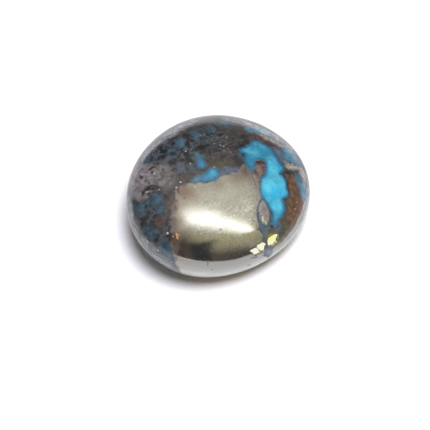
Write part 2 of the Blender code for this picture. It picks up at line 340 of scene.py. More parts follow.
# Soft areas: x, y and radius in pixels, and how strong
BRIGHT_SPOTS = (
    (274.0, 190.0, 20.0, 1.0), (276.0, 206.0, 12.0, 0.9), (272.0, 168.0, 15.0, 0.75),
    (255.0, 150.0, 13.0, 0.35), (213.0, 174.0, 5.0, 0.5), (197.0, 180.0, 7.0, 0.9),
    (262.0, 130.0, 14.0, 1.0), (290.0, 154.0, 10.0, 0.9), (303.0, 192.0, 12.0, 0.6),
    (268.5, 252.0, 5.0, 1.0),
)
COOL_SPOTS = (
    (165.0, 150.0, 30.0, 1.0), (184.0, 158.0, 19.0, 1.0), (148.0, 205.0, 28.0, 0.8),
    (160.0, 245.0, 24.0, 0.8), (200.0, 139.0, 22.0, 0.8),
)
# Painted highlights: where the pyrite is whitened beside the light strip's highlight
PAINTED_HIGHLIGHT_SPOTS = (
    (250.0, 207.0, 11.0, 1.0), (252.0, 191.0, 8.0, 0.5), (253.0, 219.0, 6.0, 1.0), (244.0, 210.0, 8.0, 0.9),
)
FROST_SPOTS = (
    (222.0, 143.0, 13.0, 1.0), (212.0, 132.0, 10.0, 0.6), (186.0, 152.0, 10.0, 0.7),
    (168.0, 262.0, 10.0, 0.8),
)
TARNISH_SPOTS = (
    (172.0, 205.0, 11.0, 1.0), (172.0, 222.0, 10.0, 1.0), (174.0, 240.0, 9.0, 1.0),
    (246.0, 170.0, 10.0, 0.8), (184.0, 192.0, 12.0, 0.95), (236.0, 177.0, 9.0, 0.6),
    (200.0, 187.0, 8.0, 0.35), (218.0, 183.0, 8.0, 0.5), (179.0, 254.0, 8.0, 0.8),
    (182.0, 243.0, 7.0, 0.7), (183.0, 204.0, 8.0, 0.6), (183.0, 234.0, 8.0, 0.6),
    (180.0, 268.0, 7.0, 0.4),
)
LILAC_SPOTS = ((136.0, 176.0, 18.0, 1.0), (148.0, 174.0, 12.0, 0.8))
GILT_SPOTS = (
    (272.0, 238.0, 8.0, 1.0), (252.0, 244.0, 6.0, 0.5), (279.0, 243.0, 5.0, 0.7), (260.0, 243.0, 5.0, 0.7),
)


def outline_radius(azimuth):
    """Distance from the girdle's middle to its rim: an oval, three lobes and some faint swellings."""
    half_long = LONG_AXIS / 2
    half_short = SHORT_AXIS / 2
    oval = half_long * half_short / np.hypot(half_short * np.cos(azimuth), half_long * np.sin(azimuth))
    share = 1 + LOBE_SHARE * np.cos(LOBE_COUNT * (azimuth - LOBE_AZIMUTH))
    for middle, width, height in SWELLINGS:
        apart = np.abs(np.remainder(azimuth - middle + math.pi, 2 * math.pi) - math.pi)
        share = share + height * np.exp(-(apart / width) ** 2)
    return oval * share


def lean_share(height):
    """How much of the crest's sideways shift applies at a height."""
    def ramp(value):
        return (value + np.hypot(value, LEAN_EASE)) / 2

    return ramp(height) / ramp(DOME_HEIGHT)


def flat_depth():
    return BELLY_DEPTH * (1 - FLAT_SHARE ** BELLY_SPREAD) ** (1 / BELLY_SHOULDER)


def surface_points(azimuth, climb):
    """Points of the stone with its girdle at height 0, for arrays of azimuth and climb."""
    above = climb >= 0
    spread = np.where(above, DOME_SPREAD, BELLY_SPREAD)
    shoulder = np.where(above, DOME_SHOULDER, BELLY_SHOULDER)
    reach = np.where(above, DOME_HEIGHT, -BELLY_DEPTH)
    share = np.maximum(np.cos(climb), 0.0) ** (2 / spread)
    height = reach * np.abs(np.sin(climb)) ** (2 / shoulder)
    lean = lean_share(height)
    radius = share * outline_radius(azimuth)
    return np.stack([
        radius * np.cos(azimuth) + CREST_SHIFT[0] * lean,
        radius * np.sin(azimuth) + CREST_SHIFT[1] * lean,
        np.maximum(height, -flat_depth()),
    ], -1)


def azimuth_and_climb(point):
    """The surface's own coordinates of a point on it, with the girdle at height 0."""
    height = point[2]
    lean = lean_share(height)
    across = point[0] - CREST_SHIFT[0] * lean
    along = point[1] - CREST_SHIFT[1] * lean
    azimuth = math.atan2(along, across)
    share = min(math.hypot(across, along) / outline_radius(azimuth), 1.0)
    if height >= 0:
        rise = min(height / DOME_HEIGHT, 1.0) ** (DOME_SHOULDER / 2)
        return azimuth, math.atan2(rise, share ** (DOME_SPREAD / 2))
    fall = min(-height / BELLY_DEPTH, 1.0) ** (BELLY_SHOULDER / 2)
    return azimuth, -math.atan2(fall, share ** (BELLY_SPREAD / 2))


def even_climbs(low, high, count):
    """Climbs from low to high whose rings are about evenly spaced along the surface."""
    fine = np.linspace(low, high, 4001)
    line = surface_points(np.zeros_like(fine), fine)
    steps = np.linalg.norm(np.diff(line, axis=0), axis=1)
    along = np.concatenate([[0.0], np.cumsum(steps)])
    return np.interp(np.linspace(0.0, along[-1], count), along, fine)


class Grid:
    """The stone's grid of vertices: rings from the flat spot up to the crest."""

    def __init__(self):
        azimuths = np.linspace(0.0, 2 * math.pi, AZIMUTH_STEPS, endpoint=False)
        flat_climb = -math.asin((flat_depth() / BELLY_DEPTH) ** (BELLY_SHOULDER / 2))
        belly = even_climbs(flat_climb, 0.0, BELLY_RINGS)
        dome = even_climbs(0.0, math.pi / 2, DOME_RINGS)
        climbs = np.concatenate([belly, dome[1:-1]])
        climb, azimuth = np.meshgrid(climbs, azimuths, indexing="ij")
        rings = surface_points(azimuth, climb)
        crest = surface_points(np.zeros(1), np.full(1, math.pi / 2))
        self.shape = rings.shape[:2]
        self.points = np.concatenate([rings.reshape(-1, 3), crest])
        self.faces = self.list_faces()
        self.normals = self.find_normals(rings)
        self.chart = self.find_chart(rings, crest, azimuths)
        low = self.points.min(0)
        high = self.points.max(0)
        self.shift = np.array((-(low[0] + high[0]) / 2, -(low[1] + high[1]) / 2, flat_depth()))

    def list_faces(self):
        rings, segments = self.shape
        index = np.arange(rings * segments).reshape(rings, segments)
        lower = index[:-1]
        upper = index[1:]
        quads = np.stack([lower, np.roll(lower, -1, 1), np.roll(upper, -1, 1), upper], -1)
        faces = [tuple(quad) for quad in quads.reshape(-1, 4).tolist()]
        last = index[-1].tolist()
        for number in range(segments):
            faces.append((last[number], last[(number + 1) % segments], rings * segments))
        faces.append(tuple(reversed(index[0].tolist())))
        return faces

    def find_normals(self, rings):
        around = np.roll(rings, -1, 1) - np.roll(rings, 1, 1)
        upward = np.gradient(rings, axis=0)
        normals = np.cross(around, upward)
        normals /= np.linalg.norm(normals, axis=-1, keepdims=True)
        return np.concatenate([normals.reshape(-1, 3), [[0.0, 0.0, 1.0]]])

    def find_chart(self, rings, crest, azimuths):
        """Each vertex on a flat chart: its distance from the crest along the surface, at its azimuth."""
        meridians = np.concatenate([rings, np.broadcast_to(crest, (1, *rings.shape[1:]))])
        steps = np.linalg.norm(np.diff(meridians, axis=0), axis=-1)
        run = np.cumsum(steps[::-1], axis=0)[::-1]
        flat = np.stack([run * np.cos(azimuths), run * np.sin(azimuths)], -1).reshape(-1, 2)
        return np.concatenate([flat, [[0.0, 0.0]]]) / MM


def chart_point(azimuth, climb):
    """A surface point's place on the flat chart, in millimetres."""
    fine = np.linspace(climb, math.pi / 2, 300)
    line = surface_points(np.full_like(fine, azimuth), fine)
    run = np.linalg.norm(np.diff(line, axis=0), axis=1).sum() / MM
    return np.array((run * math.cos(azimuth), run * math.sin(azimuth)))


def room_axes():
    """The photograph's right and away directions, as level unit vectors of the row frame."""
    right = Vector((math.cos(CAMERA_TURN), -math.sin(CAMERA_TURN), 0.0))
    away = Vector((math.sin(CAMERA_TURN), math.cos(CAMERA_TURN), 0.0))
    return right, away


def room_vector(x, y, z):
    right, away = room_axes()
    return right * x + away * y + Vector((0.0, 0.0, z))


def camera_matrix(girdle_middle):
    """Placement of the camera: it sees the girdle's middle at its pixel of the photograph."""
    right, away = room_axes()
    forward = away * math.cos(CAMERA_ELEVATION) - Vector((0, 0, 1)) * math.sin(CAMERA_ELEVATION)
    up = right.cross(forward)
    place = girdle_middle - forward * (FOCAL_PIXELS * PIXEL)
    centre = PHOTO_SIZE / 2
    aim = girdle_middle - right * (GIRDLE_PIXEL[0] - centre) * PIXEL
    aim = aim + up * (GIRDLE_PIXEL[1] - centre) * PIXEL
    look = (aim - place).normalized()
    side = look.cross(up).normalized()
    top = side.cross(look)
    matrix = Matrix((side, top, -look)).transposed().to_4x4()
    matrix.translation = place
    return matrix


class Photo:
    """Casts pixels of the photograph onto the stone."""

    def __init__(self, grid):
        self.camera = camera_matrix(Vector((0.0, 0.0, 0.0)))
        self.tree = BVHTree.FromPolygons(grid.points.tolist(), grid.faces)

    def hit(self, x, y):
        centre = PHOTO_SIZE / 2
        ray = self.camera.to_3x3() @ Vector((x - centre, centre - y, -FOCAL_PIXELS))
        return self.tree.ray_cast(self.camera.translation, ray.normalized())[0]

    def chart(self, x, y):
        """A pixel's place on the chart. Beyond the silhouette it goes on round the hidden side."""
        start = np.array((x, y), float)
        inward = np.array(MIDDLE_PIXEL) - start
        inward /= np.linalg.norm(inward)
        outside = 0.0
        spot = self.hit(x, y)
        while spot is None:
            outside += 0.5
            spot = self.hit(*(start + inward * outside))
        place = chart_point(*azimuth_and_climb(spot))
        if outside > 0:
            place *= 1 + outside * PIXEL / MM * 1.5 / np.linalg.norm(place)
        return place


def rounded(corners, steps=4):
    """A closed curve through the corners."""
    corners = np.array(corners)
    before = np.roll(corners, 1, 0)
    after = np.roll(corners, -1, 0)
    beyond = np.roll(corners, -2, 0)
    pieces = []
    for share in np.arange(steps) / steps:
        square = share * share
        cube = square * share
        pieces.append(0.5 * (
            2 * corners + (after - before) * share
            + (2 * before - 5 * corners + 4 * after - beyond) * square
            + (3 * corners - before - 3 * after + beyond) * cube))
    return np.stack(pieces, 1).reshape(-1, 2)


def inside_distance(places, outline):
    """Distance of chart places inside a closed outline, negative outside, in millimetres."""
    low = outline.min(0) + FAR
    high = outline.max(0) - FAR
    near = np.all((places > low) & (places < high), axis=1)
    spots = places[near]
    starts = outline
    ends = np.roll(outline, -1, 0)
    best = np.full(len(spots), np.inf)
    crossings = np.zeros(len(spots), int)
    for start, end in zip(starts, ends):
        edge = end - start
        offset = spots - start
        share = np.clip(offset @ edge / max(edge @ edge, 1e-12), 0.0, 1.0)
        best = np.minimum(best, np.linalg.norm(offset - share[:, None] * edge, axis=1))
        spans = (start[1] > spots[:, 1]) != (end[1] > spots[:, 1])
        if start[1] != end[1]:
            cross_x = start[0] + (spots[:, 1] - start[1]) * edge[0] / edge[1]
            crossings += spans & (spots[:, 0] < cross_x)
    result = np.full(len(places), FAR)
    result[near] = np.where(crossings % 2 == 1, best, -best)
    return np.maximum(result, FAR)


def along_distance(places, line, half_widths):
    """Distance of chart places inside a curve that has a half-width at each of its points."""
    result = np.full(len(places), FAR)
    if len(line) == 1:
        return np.maximum(result, half_widths[0] - np.linalg.norm(places - line[0], axis=1))
    for number in range(len(line) - 1):
        edge = line[number + 1] - line[number]
        offset = places - line[number]
        share = np.clip(offset @ edge / (edge @ edge), 0.0, 1.0)
        away = np.linalg.norm(offset - share[:, None] * edge, axis=1)
        width = half_widths[number] + share * (half_widths[number + 1] - half_widths[number])
        result = np.maximum(result, width - away)
    return result


def area_map(grid, photo, outlines):
    """For every vertex, how far inside the nearest of some outlines it lies."""
    result = np.full(len(grid.points), FAR)
    for outline in outlines:
        shape = np.array([photo.chart(x, y) for x, y in outline])
        result = np.maximum(result, inside_distance(grid.chart, rounded(shape)))
    return result


def line_map(grid, photo, curves):
    """The same for curves and spots, whose points have half-widths in pixels."""
    result = np.full(len(grid.points), FAR)
    for curve in curves:
        line = np.array([photo.chart(x, y) for x, y, _ in curve])
        half_widths = [width * PIXEL / MM for _, _, width in curve]
        result = np.maximum(result, along_distance(grid.chart, line, half_widths))
    return result


def glow_map(grid, photo, spots):
    """A soft field between 0 and 1 that is high near the spots."""
    result = np.zeros(len(grid.points))
    for x, y, radius, strength in spots:
        away = np.linalg.norm(grid.chart - photo.chart(x, y), axis=1) / (radius * PIXEL / MM)
        result = np.maximum(result, strength * np.exp(-away ** 2))
    return result


def hidden_share(grid, photo):
    """1 on the side that faces away from the camera and 0 on the side that it sees."""
    to_camera = np.array(photo.camera.translation.normalized())
    start, end = HIDDEN_SIDE
    return np.clip((grid.normals @ to_camera - start) / (end - start), 0.0, 1.0)


def linear(value):
    share = value / 255
    return share / 12.92 if share <= 0.04045 else ((share + 0.055) / 1.055) ** 2.4


def seen(red, green, blue):
    """The surface colour that is seen as this 8-bit colour under the scene's light."""
    channels = [max((linear(value) - SHEEN) / EXPOSURE, 0.003) for value in (red, green, blue)]
    return (*channels, 1.0)


class Graph:
    """Short ways to add the nodes of a material or a world."""

    def __init__(self, tree):
        self.nodes = tree.nodes
        self.links = tree.links

    def put(self, socket, value):
        if isinstance(value, bpy.types.NodeSocket):
            self.links.new(value, socket)
        else:
            socket.default_value = value

    def math(self, operation, *values):
        node = self.nodes.new("ShaderNodeMath")
        node.operation = operation
        for socket, value in zip(node.inputs, values):
            self.put(socket, value)
        return node.outputs[0]

    def smooth(self, value, low, high):
        """0 below low and 1 above high, with a smooth step between."""
        node = self.nodes.new("ShaderNodeMapRange")
        node.interpolation_type = "SMOOTHSTEP"
        self.put(node.inputs["Value"], value)
        self.put(node.inputs["From Min"], low)
        self.put(node.inputs["From Max"], high)
        return node.outputs["Result"]

    def mix(self, factor, first, second):
        node = self.nodes.new("ShaderNodeMix")
        node.data_type = "RGBA"
        self.put(node.inputs[0], factor)
        self.put(node.inputs[6], first)
        self.put(node.inputs[7], second)
        return node.outputs[2]

    def blend(self, factor, first, second):
        node = self.nodes.new("ShaderNodeMix")
        node.data_type = "FLOAT"
        self.put(node.inputs[0], factor)
        self.put(node.inputs[2], first)
        self.put(node.inputs[3], second)
        return node.outputs[0]


class Paint(Graph):
    """The stone's material as it grows layer by layer: colour, metal and roughness."""

    def __init__(self, material):
        super().__init__(material.node_tree)
        self.shader = self.nodes["Principled BSDF"]
        place = self.nodes.new("ShaderNodeTexCoord")
        scale = self.nodes.new("ShaderNodeVectorMath")
        scale.operation = "SCALE"
        self.links.new(place.outputs["Object"], scale.inputs[0])
        scale.inputs["Scale"].default_value = 1 / MM
        self.place = scale.outputs[0]
        self.colour = None
        self.metal = 0.0
        self.rough = 0.2

    def shifted(self, offset):
        node = self.nodes.new("ShaderNodeVectorMath")
        node.operation = "ADD"
        self.links.new(self.place, node.inputs[0])
        node.inputs[1].default_value = (offset, -offset, offset / 2)
        return node.outputs[0]

    def noise(self, scale, detail=3.0, roughness=0.55, offset=0.0):
        """Noise around 0.5, with its scale in features per millimetre."""
        node = self.nodes.new("ShaderNodeTexNoise")
        self.links.new(self.shifted(offset), node.inputs["Vector"])
        node.inputs["Scale"].default_value = scale
        node.inputs["Detail"].default_value = detail
        node.inputs["Roughness"].default_value = roughness
        return node.outputs["Fac"]

    def streaks(self, scale, offset):
        """Noise drawn out level, so that on the steep rim it runs along it."""
        node = self.nodes.new("ShaderNodeVectorMath")
        node.operation = "MULTIPLY"
        self.links.new(self.shifted(offset), node.inputs[0])
        node.inputs[1].default_value = STREAK_STRETCH
        noise = self.nodes.new("ShaderNodeTexNoise")
        self.links.new(node.outputs[0], noise.inputs["Vector"])
        noise.inputs["Scale"].default_value = scale
        noise.inputs["Detail"].default_value = 4.0
        noise.inputs["Roughness"].default_value = 0.65
        return noise.outputs["Fac"]

    def cells(self, scale, offset=0.0):
        node = self.nodes.new("ShaderNodeTexVoronoi")
        self.links.new(self.shifted(offset), node.inputs["Vector"])
        node.inputs["Scale"].default_value = scale
        return node.outputs["Distance"]

    def area(self, name):
        node = self.nodes.new("ShaderNodeAttribute")
        node.attribute_name = name
        return node.outputs["Fac"]

    def ragged(self, name, amount, scale, offset=0.0):
        """A stored distance with noise added, so that its edge wanders by about the amount."""
        coarse = self.math("SUBTRACT", self.noise(scale, 3.0, 0.6, offset), 0.5)
        fine = self.math("SUBTRACT", self.noise(scale * 3.7, 3.0, 0.6, offset + 1.0), 0.5)
        edge = self.math("MULTIPLY_ADD", coarse, 2.2 * amount, self.area(name))
        return self.math("MULTIPLY_ADD", fine, 1.2 * amount, edge)

    def layer(self, mask, colour, metal=0.0, rough=0.2):
        self.colour = self.mix(mask, self.colour, colour)
        self.metal = self.blend(mask, self.metal, metal)
        self.rough = self.blend(mask, self.rough, rough)


def paint_matrix(paint):
    """Dark brown-grey host rock, mottled, cooler and blacker towards the upper left."""
    broad = paint.smooth(paint.noise(0.35, 3.0, 0.6, 3.0), 0.35, 0.65)
    fine = paint.smooth(paint.noise(1.6, 5.0, 0.65, 7.0), 0.36, 0.64)
    warm = paint.mix(fine, seen(60, 56, 54), seen(88, 84, 80))
    cool = paint.mix(fine, seen(42, 47, 52), seen(94, 101, 106))
    cool_share = paint.area("cool")
    paint.colour = paint.mix(cool_share, paint.mix(broad, warm, seen(76, 73, 70)), cool)
    clasts = paint.math("MULTIPLY", paint.smooth(paint.cells(1.3, 2.0), 0.42, 0.14), cool_share)
    tints = paint.smooth(paint.noise(0.8, 2.0, 0.5, 15.0), 0.44, 0.56)
    paint.layer(paint.math("MULTIPLY", clasts, 0.6), paint.mix(tints, seen(66, 88, 84), seen(92, 94, 106)))
    green = paint.smooth(paint.noise(0.9, 3.0, 0.6, 16.0), 0.56, 0.66)
    paint.layer(paint.math("MULTIPLY", green, 0.45), seen(68, 80, 70))
    plum = paint.smooth(paint.noise(0.9, 3.0, 0.6, 18.0), 0.56, 0.66)
    paint.layer(paint.math("MULTIPLY", plum, 0.45), seen(84, 64, 70))
    dark = paint.smooth(paint.noise(0.95, 4.0, 0.62, 19.0), 0.50, 0.60)
    dark_share = paint.blend(cool_share, 0.5, 0.95)
    paint.layer(paint.math("MULTIPLY", dark, dark_share), seen(38, 38, 42), rough=0.25)
    frost = paint.smooth(paint.noise(3.2, 3.0, 0.6, 21.0), 0.56, 0.68)
    paint.layer(paint.math("MULTIPLY", frost, paint.area("frost")), seen(138, 140, 142))


def paint_soft_areas(paint):
    """Minerals that blend into the matrix without a clear edge."""
    grain = paint.smooth(paint.noise(1.8, 4.0, 0.6, 31.0), 0.36, 0.64)
    patchy = paint.smooth(paint.noise(0.9, 4.0, 0.6, 33.0), 0.36, 0.56)
    purple = paint.smooth(paint.ragged("purple_grey", 0.35, 0.9, 5.0), -0.4, 0.4)
    ash = paint.mix(grain, seen(96, 92, 90), seen(128, 124, 121))
    lilac = paint.mix(grain, seen(116, 108, 112), seen(156, 151, 158))
    paint.layer(purple, paint.mix(paint.area("lilac"), ash, lilac), rough=0.24)
    spots = paint.smooth(paint.cells(0.95, 6.0), 0.20, 0.10)
    paint.layer(paint.math("MULTIPLY", paint.math("MULTIPLY", spots, purple), 0.55), seen(78, 74, 76))
    teal = paint.smooth(paint.ragged("teal", 0.5, 0.9, 11.0), -0.4, 0.4)
    teal = paint.math("MULTIPLY", teal, paint.blend(patchy, 0.35, 0.95))
    paint.layer(teal, paint.mix(grain, seen(54, 72, 84), seen(76, 104, 118)))
    red = paint.smooth(paint.ragged("red_brown", 0.35, 1.1, 17.0), -0.35, 0.4)
    paint.layer(paint.math("MULTIPLY", red, 0.8), paint.mix(grain, seen(72, 60, 60), seen(104, 84, 80)))
    olive = paint.smooth(paint.ragged("olive", 0.35, 1.1, 13.0), -0.35, 0.4)
    paint.layer(paint.math("MULTIPLY", olive, 0.75), paint.mix(grain, seen(70, 70, 58), seen(102, 98, 78)))
    limonite = paint.smooth(paint.ragged("limonite", 0.25, 1.3, 23.0), -0.2, 0.3)
    paint.layer(limonite, paint.mix(grain, seen(90, 74, 62), seen(128, 99, 78)), metal=0.15, rough=0.24)
    tan = paint.smooth(paint.ragged("tan", 0.3, 1.2, 29.0), -0.25, 0.35)
    tan_colour = paint.mix(grain, seen(130, 124, 116), seen(184, 178, 168))
    paint.layer(paint.math("MULTIPLY", tan, 0.85), tan_colour)
    slate = paint.smooth(paint.ragged("slate", 0.3, 1.1, 37.0), -0.3, 0.35)
    tone = paint.area("bright")
    slate_low = paint.mix(tone, seen(74, 86, 98), seen(116, 136, 150))
    slate_high = paint.mix(tone, seen(104, 116, 134), seen(156, 178, 196))
    paint.layer(paint.math("MULTIPLY", slate, 0.85), paint.mix(grain, slate_low, slate_high))


def paint_hidden_side(paint):
    """The side that the photograph doesn't show goes on in the same minerals."""
    grain = paint.smooth(paint.noise(1.6, 4.0, 0.6, 91.0), 0.36, 0.64)
    hidden = paint.area("hidden")
    cloud = paint.smooth(paint.noise(0.30, 4.0, 0.6, 93.0), 0.48, 0.58)
    paint.layer(paint.math("MULTIPLY", cloud, hidden), paint.mix(grain, seen(84, 70, 60), seen(122, 102, 86)))
    ash = paint.smooth(paint.noise(0.34, 4.0, 0.6, 95.0), 0.54, 0.62)
    paint.layer(paint.math("MULTIPLY", ash, hidden), paint.mix(grain, seen(92, 90, 90), seen(132, 128, 128)))
    patches = paint.smooth(paint.noise(0.42, 4.0, 0.58, 97.0), 0.57, 0.60)
    blue = paint.mix(grain, seen(52, 118, 144), seen(86, 166, 192))
    paint.layer(paint.math("MULTIPLY", patches, hidden), blue, rough=0.18)
    dots = paint.smooth(paint.noise(1.1, 3.0, 0.55, 99.0), 0.68, 0.71)
    paint.layer(paint.math("MULTIPLY", dots, hidden), paint.mix(grain, seen(60, 110, 132), seen(90, 150, 172)))


def paint_turquoise(paint):
    """Sky blue where it is purest, dull and greenish in the small patches, dark along its edges."""
    tone = paint.area("bright")
    cloud = paint.smooth(paint.noise(0.8, 4.0, 0.6, 41.0), 0.35, 0.65)
    dull = paint.mix(cloud, seen(58, 124, 150), seen(84, 150, 176))
    bright = paint.mix(cloud, seen(62, 190, 228), seen(108, 218, 243))
    wash = paint.mix(cloud, seen(56, 86, 102), seen(80, 122, 140))
    pale = paint.mix(cloud, seen(68, 130, 156), seen(110, 156, 178))
    faded = paint.smooth(paint.ragged("dull_turquoise", 0.35, 1.2, 43.0), -0.3, 0.4)
    paint.layer(faded, paint.mix(tone, wash, pale))
    edge = paint.ragged("turquoise", 0.18, 1.5, 47.0)
    purest = paint.mix(tone, dull, bright)
    body = paint.mix(paint.smooth(edge, 0.0, 0.5), seen(46, 116, 150), purest)
    stain = paint.smooth(paint.noise(1.3, 4.0, 0.6, 49.0), 0.56, 0.68)
    stain = paint.math("MULTIPLY", stain, paint.blend(tone, 0.5, 0.12))
    body = paint.mix(stain, body, seen(58, 92, 108))
    paint.layer(paint.smooth(edge, -0.22, 0.16), body, rough=0.18)


def paint_pyrite(paint):
    """Brassy metal with a fine brushed grain, brown and dull where it is tarnished."""
    broad = paint.smooth(paint.noise(0.5, 4.0, 0.6, 53.0), 0.38, 0.62)
    grain = paint.noise(4.0, 5.0, 0.7, 59.0)
    brass = paint.mix(broad, (0.44, 0.435, 0.40, 1.0), (0.52, 0.52, 0.49, 1.0))
    brass = paint.mix(paint.smooth(grain, 0.42, 0.75), brass, (0.62, 0.62, 0.58, 1.0))
    upward = paint.area("upward")
    brass = paint.mix(paint.smooth(upward, *STEEP_SIDE), brass, (0.295, 0.295, 0.275, 1.0))
    # Brighter brass towards the silhouette: a painted reflection of the lit white sheet
    rim_streaks = paint.smooth(paint.streaks(1.5, 68.0), 0.36, 0.64)
    rim_brass_painted_reflection = paint.mix(rim_streaks, (0.41, 0.42, 0.395, 1.0), (0.50, 0.505, 0.48, 1.0))
    brass = paint.mix(paint.smooth(upward, *STEEP_RIM), brass, rim_brass_painted_reflection)
    brass = paint.mix(paint.smooth(upward, *BELLY), brass, (0.26, 0.18, 0.11, 1.0))
    pocks = paint.smooth(paint.noise(3.0, 3.0, 0.6, 57.0), 0.64, 0.72)
    brass = paint.mix(paint.math("MULTIPLY", pocks, 0.6), brass, (0.22, 0.20, 0.17, 1.0))
    # Painted highlight: the brass whitened in speckles beside the strip's highlight
    painted_highlight = paint.smooth(paint.noise(4.5, 3.0, 0.6, 58.0), 0.42, 0.66)
    painted_highlight = paint.math("MULTIPLY", painted_highlight, paint.area("painted_highlight"))
    brass = paint.mix(painted_highlight, brass, (0.80, 0.79, 0.75, 1.0))
    tarnish = paint.area("tarnish")
    brass = paint.mix(tarnish, brass, (0.305, 0.228, 0.19, 1.0))
    rough = paint.blend(paint.smooth(grain, 0.35, 0.7), 0.10, 0.17)
    mottle = paint.math("MULTIPLY_ADD", paint.noise(1.5, 4.0, 0.65, 63.0), 2.6, -1.3)
    edge = paint.math("MULTIPLY_ADD", mottle, tarnish, paint.ragged("pyrite", 0.25, 1.2, 61.0))
    reach = paint.blend(tarnish, 0.12, 0.5)
    mask = paint.smooth(edge, paint.math("MULTIPLY", reach, -1.0), reach)
    paint.layer(mask, brass, metal=1.0, rough=rough)
    copper = paint.smooth(paint.ragged("copper", 0.3, 1.5, 67.0), -0.35, 0.4)
    paint.layer(paint.math("MULTIPLY", copper, 0.65), seen(118, 88, 66), metal=0.5, rough=0.3)


def paint_small_marks(paint):
    # Painted reflection: the white sheet's pale reflection along the rim, streaked along it
    rim = paint.smooth(paint.ragged("rim", 0.5, 1.8, 69.0), -0.8, 0.5)
    rim_reflection_streaks = paint.smooth(paint.streaks(2.2, 70.0), 0.36, 0.66)
    rim_reflection_colour = paint.mix(rim_reflection_streaks, seen(112, 116, 120), seen(214, 218, 222))
    paint.layer(paint.math("MULTIPLY", rim, 0.6), rim_reflection_colour)
    # Brown is the stone's own colour; over the vein's lens its paler tones are also a painted reflection
    brown = paint.smooth(paint.ragged("brown", 0.14, 1.6, 27.0), -0.25, 0.25)
    brown_grain = paint.smooth(paint.noise(1.8, 4.0, 0.6, 31.0), 0.36, 0.64)
    paint.layer(paint.math("MULTIPLY", brown, 0.8), paint.mix(brown_grain, seen(94, 80, 74), seen(146, 129, 121)))
    vein = paint.smooth(paint.ragged("vein", 0.14, 2.0, 71.0), -0.12, 0.12)
    paint.layer(vein, paint.mix(paint.noise(2.0, 3.0, 0.6, 73.0), seen(56, 70, 80), seen(98, 120, 136)))
    crack = paint.smooth(paint.area("crack"), -0.05, 0.04)
    paint.layer(paint.math("MULTIPLY", crack, 0.8), seen(72, 54, 48), rough=0.5)
    gilt = paint.smooth(paint.area("gilt"), 0.0, 1.0)
    paint.layer(paint.math("MULTIPLY", gilt, 0.5), seen(150, 142, 78), rough=0.3)
    crystal = paint.smooth(paint.area("crystal"), -0.05, 0.06)
    facet = paint.mix(gilt, (0.74, 0.73, 0.58, 1.0), (0.74, 0.72, 0.32, 1.0))
    paint.layer(crystal, facet, metal=1.0, rough=0.14)
    spot = paint.smooth(paint.ragged("black_spot", 0.14, 2.0, 79.0), -0.16, 0.14)
    paint.layer(paint.math("MULTIPLY", spot, 0.8), seen(36, 35, 38), rough=0.3)
    # Pits: painted shade, dark inside the sunken hollows
    pit = paint.smooth(paint.ragged("pit", 0.08, 2.5, 83.0), -0.10, 0.12)
    pit_shade_mottle = paint.smooth(paint.noise(3.0, 4.0, 0.65, 85.0), 0.40, 0.62)
    paint.layer(pit, paint.mix(pit_shade_mottle, seen(44, 39, 41), seen(86, 77, 78)), rough=0.7)
    # Orange-gold grains painted bright as glints
    gold = paint.smooth(paint.area("copper_painted_glint"), -0.06, 0.05)
    paint.layer(gold, seen(206, 156, 106), rough=0.4)
    # Painted glints: small pale bright points
    painted_glint = paint.smooth(paint.ragged("painted_glint", 0.05, 4.0, 89.0), -0.07, 0.05)
    paint.layer(paint.math("MULTIPLY", painted_glint, 0.85), seen(206, 202, 186), rough=0.4)


def make_material():
    material = bpy.data.materials.new("polished_turquoise_with_pyrite")
    material.use_nodes = True
    paint = Paint(material)
    paint_matrix(paint)
    paint_soft_areas(paint)
    paint_hidden_side(paint)
    paint_turquoise(paint)
    paint_pyrite(paint)
    paint_small_marks(paint)
    shader = paint.shader
    paint.put(shader.inputs["Base Color"], paint.colour)
    paint.put(shader.inputs["Metallic"], paint.metal)
    paint.put(shader.inputs["Roughness"], paint.rough)
    shader.inputs["IOR"].default_value = 1.7
    return material


def press_pits(grid, distance):
    """Sinks the vertices of the pits by up to their depth."""
    depth = np.clip((distance + PIT_SLOPE / 4) / PIT_SLOPE, 0.0, 1.0) * PIT_DEPTH
    grid.points = grid.points - grid.normals * depth[:, None]


def press_facets(grid, photo):
    """Turns each crystal into a flat facet, sunk just enough that none of it stands out."""
    to_camera = photo.camera.translation.normalized()
    for outline, (azimuth, elevation) in zip(CRYSTALS, FACET_MIRRORS):
        level = math.cos(elevation)
        mirrored = room_vector(level * math.cos(azimuth), level * math.sin(azimuth), math.sin(elevation))
        facing = np.array((to_camera + mirrored).normalized())
        shape = np.array([photo.chart(x, y) for x, y in outline])
        inside = inside_distance(grid.chart, shape) > 0
        heights = grid.points[inside] @ facing
        fall = np.maximum(heights - np.quantile(heights, 0.04), 0.0) / (grid.normals[inside] @ facing)
        grid.points[inside] -= grid.normals[inside] * fall[:, None]


def ripple(grid):
    """The slight unevenness of a hand polish: a few long, faint waves."""
    draw = np.random.default_rng(RIPPLE_SEED)
    depth = np.zeros(len(grid.points))
    for _ in range(RIPPLE_WAVES):
        heading = draw.normal(size=3)
        length = draw.uniform(*RIPPLE_LENGTHS)
        heading *= 2 * math.pi / (length * np.linalg.norm(heading))
        depth += length * np.sin(grid.points @ heading + draw.uniform(0, 2 * math.pi))
    depth *= RIPPLE_SLOPE / (2 * math.pi * math.sqrt(RIPPLE_WAVES / 2))
    share = np.clip(grid.points[:, 2] / MM + 1.5, 0.0, 1.0)
    grid.points = grid.points - grid.normals * ((depth - depth.min()) * share)[:, None]


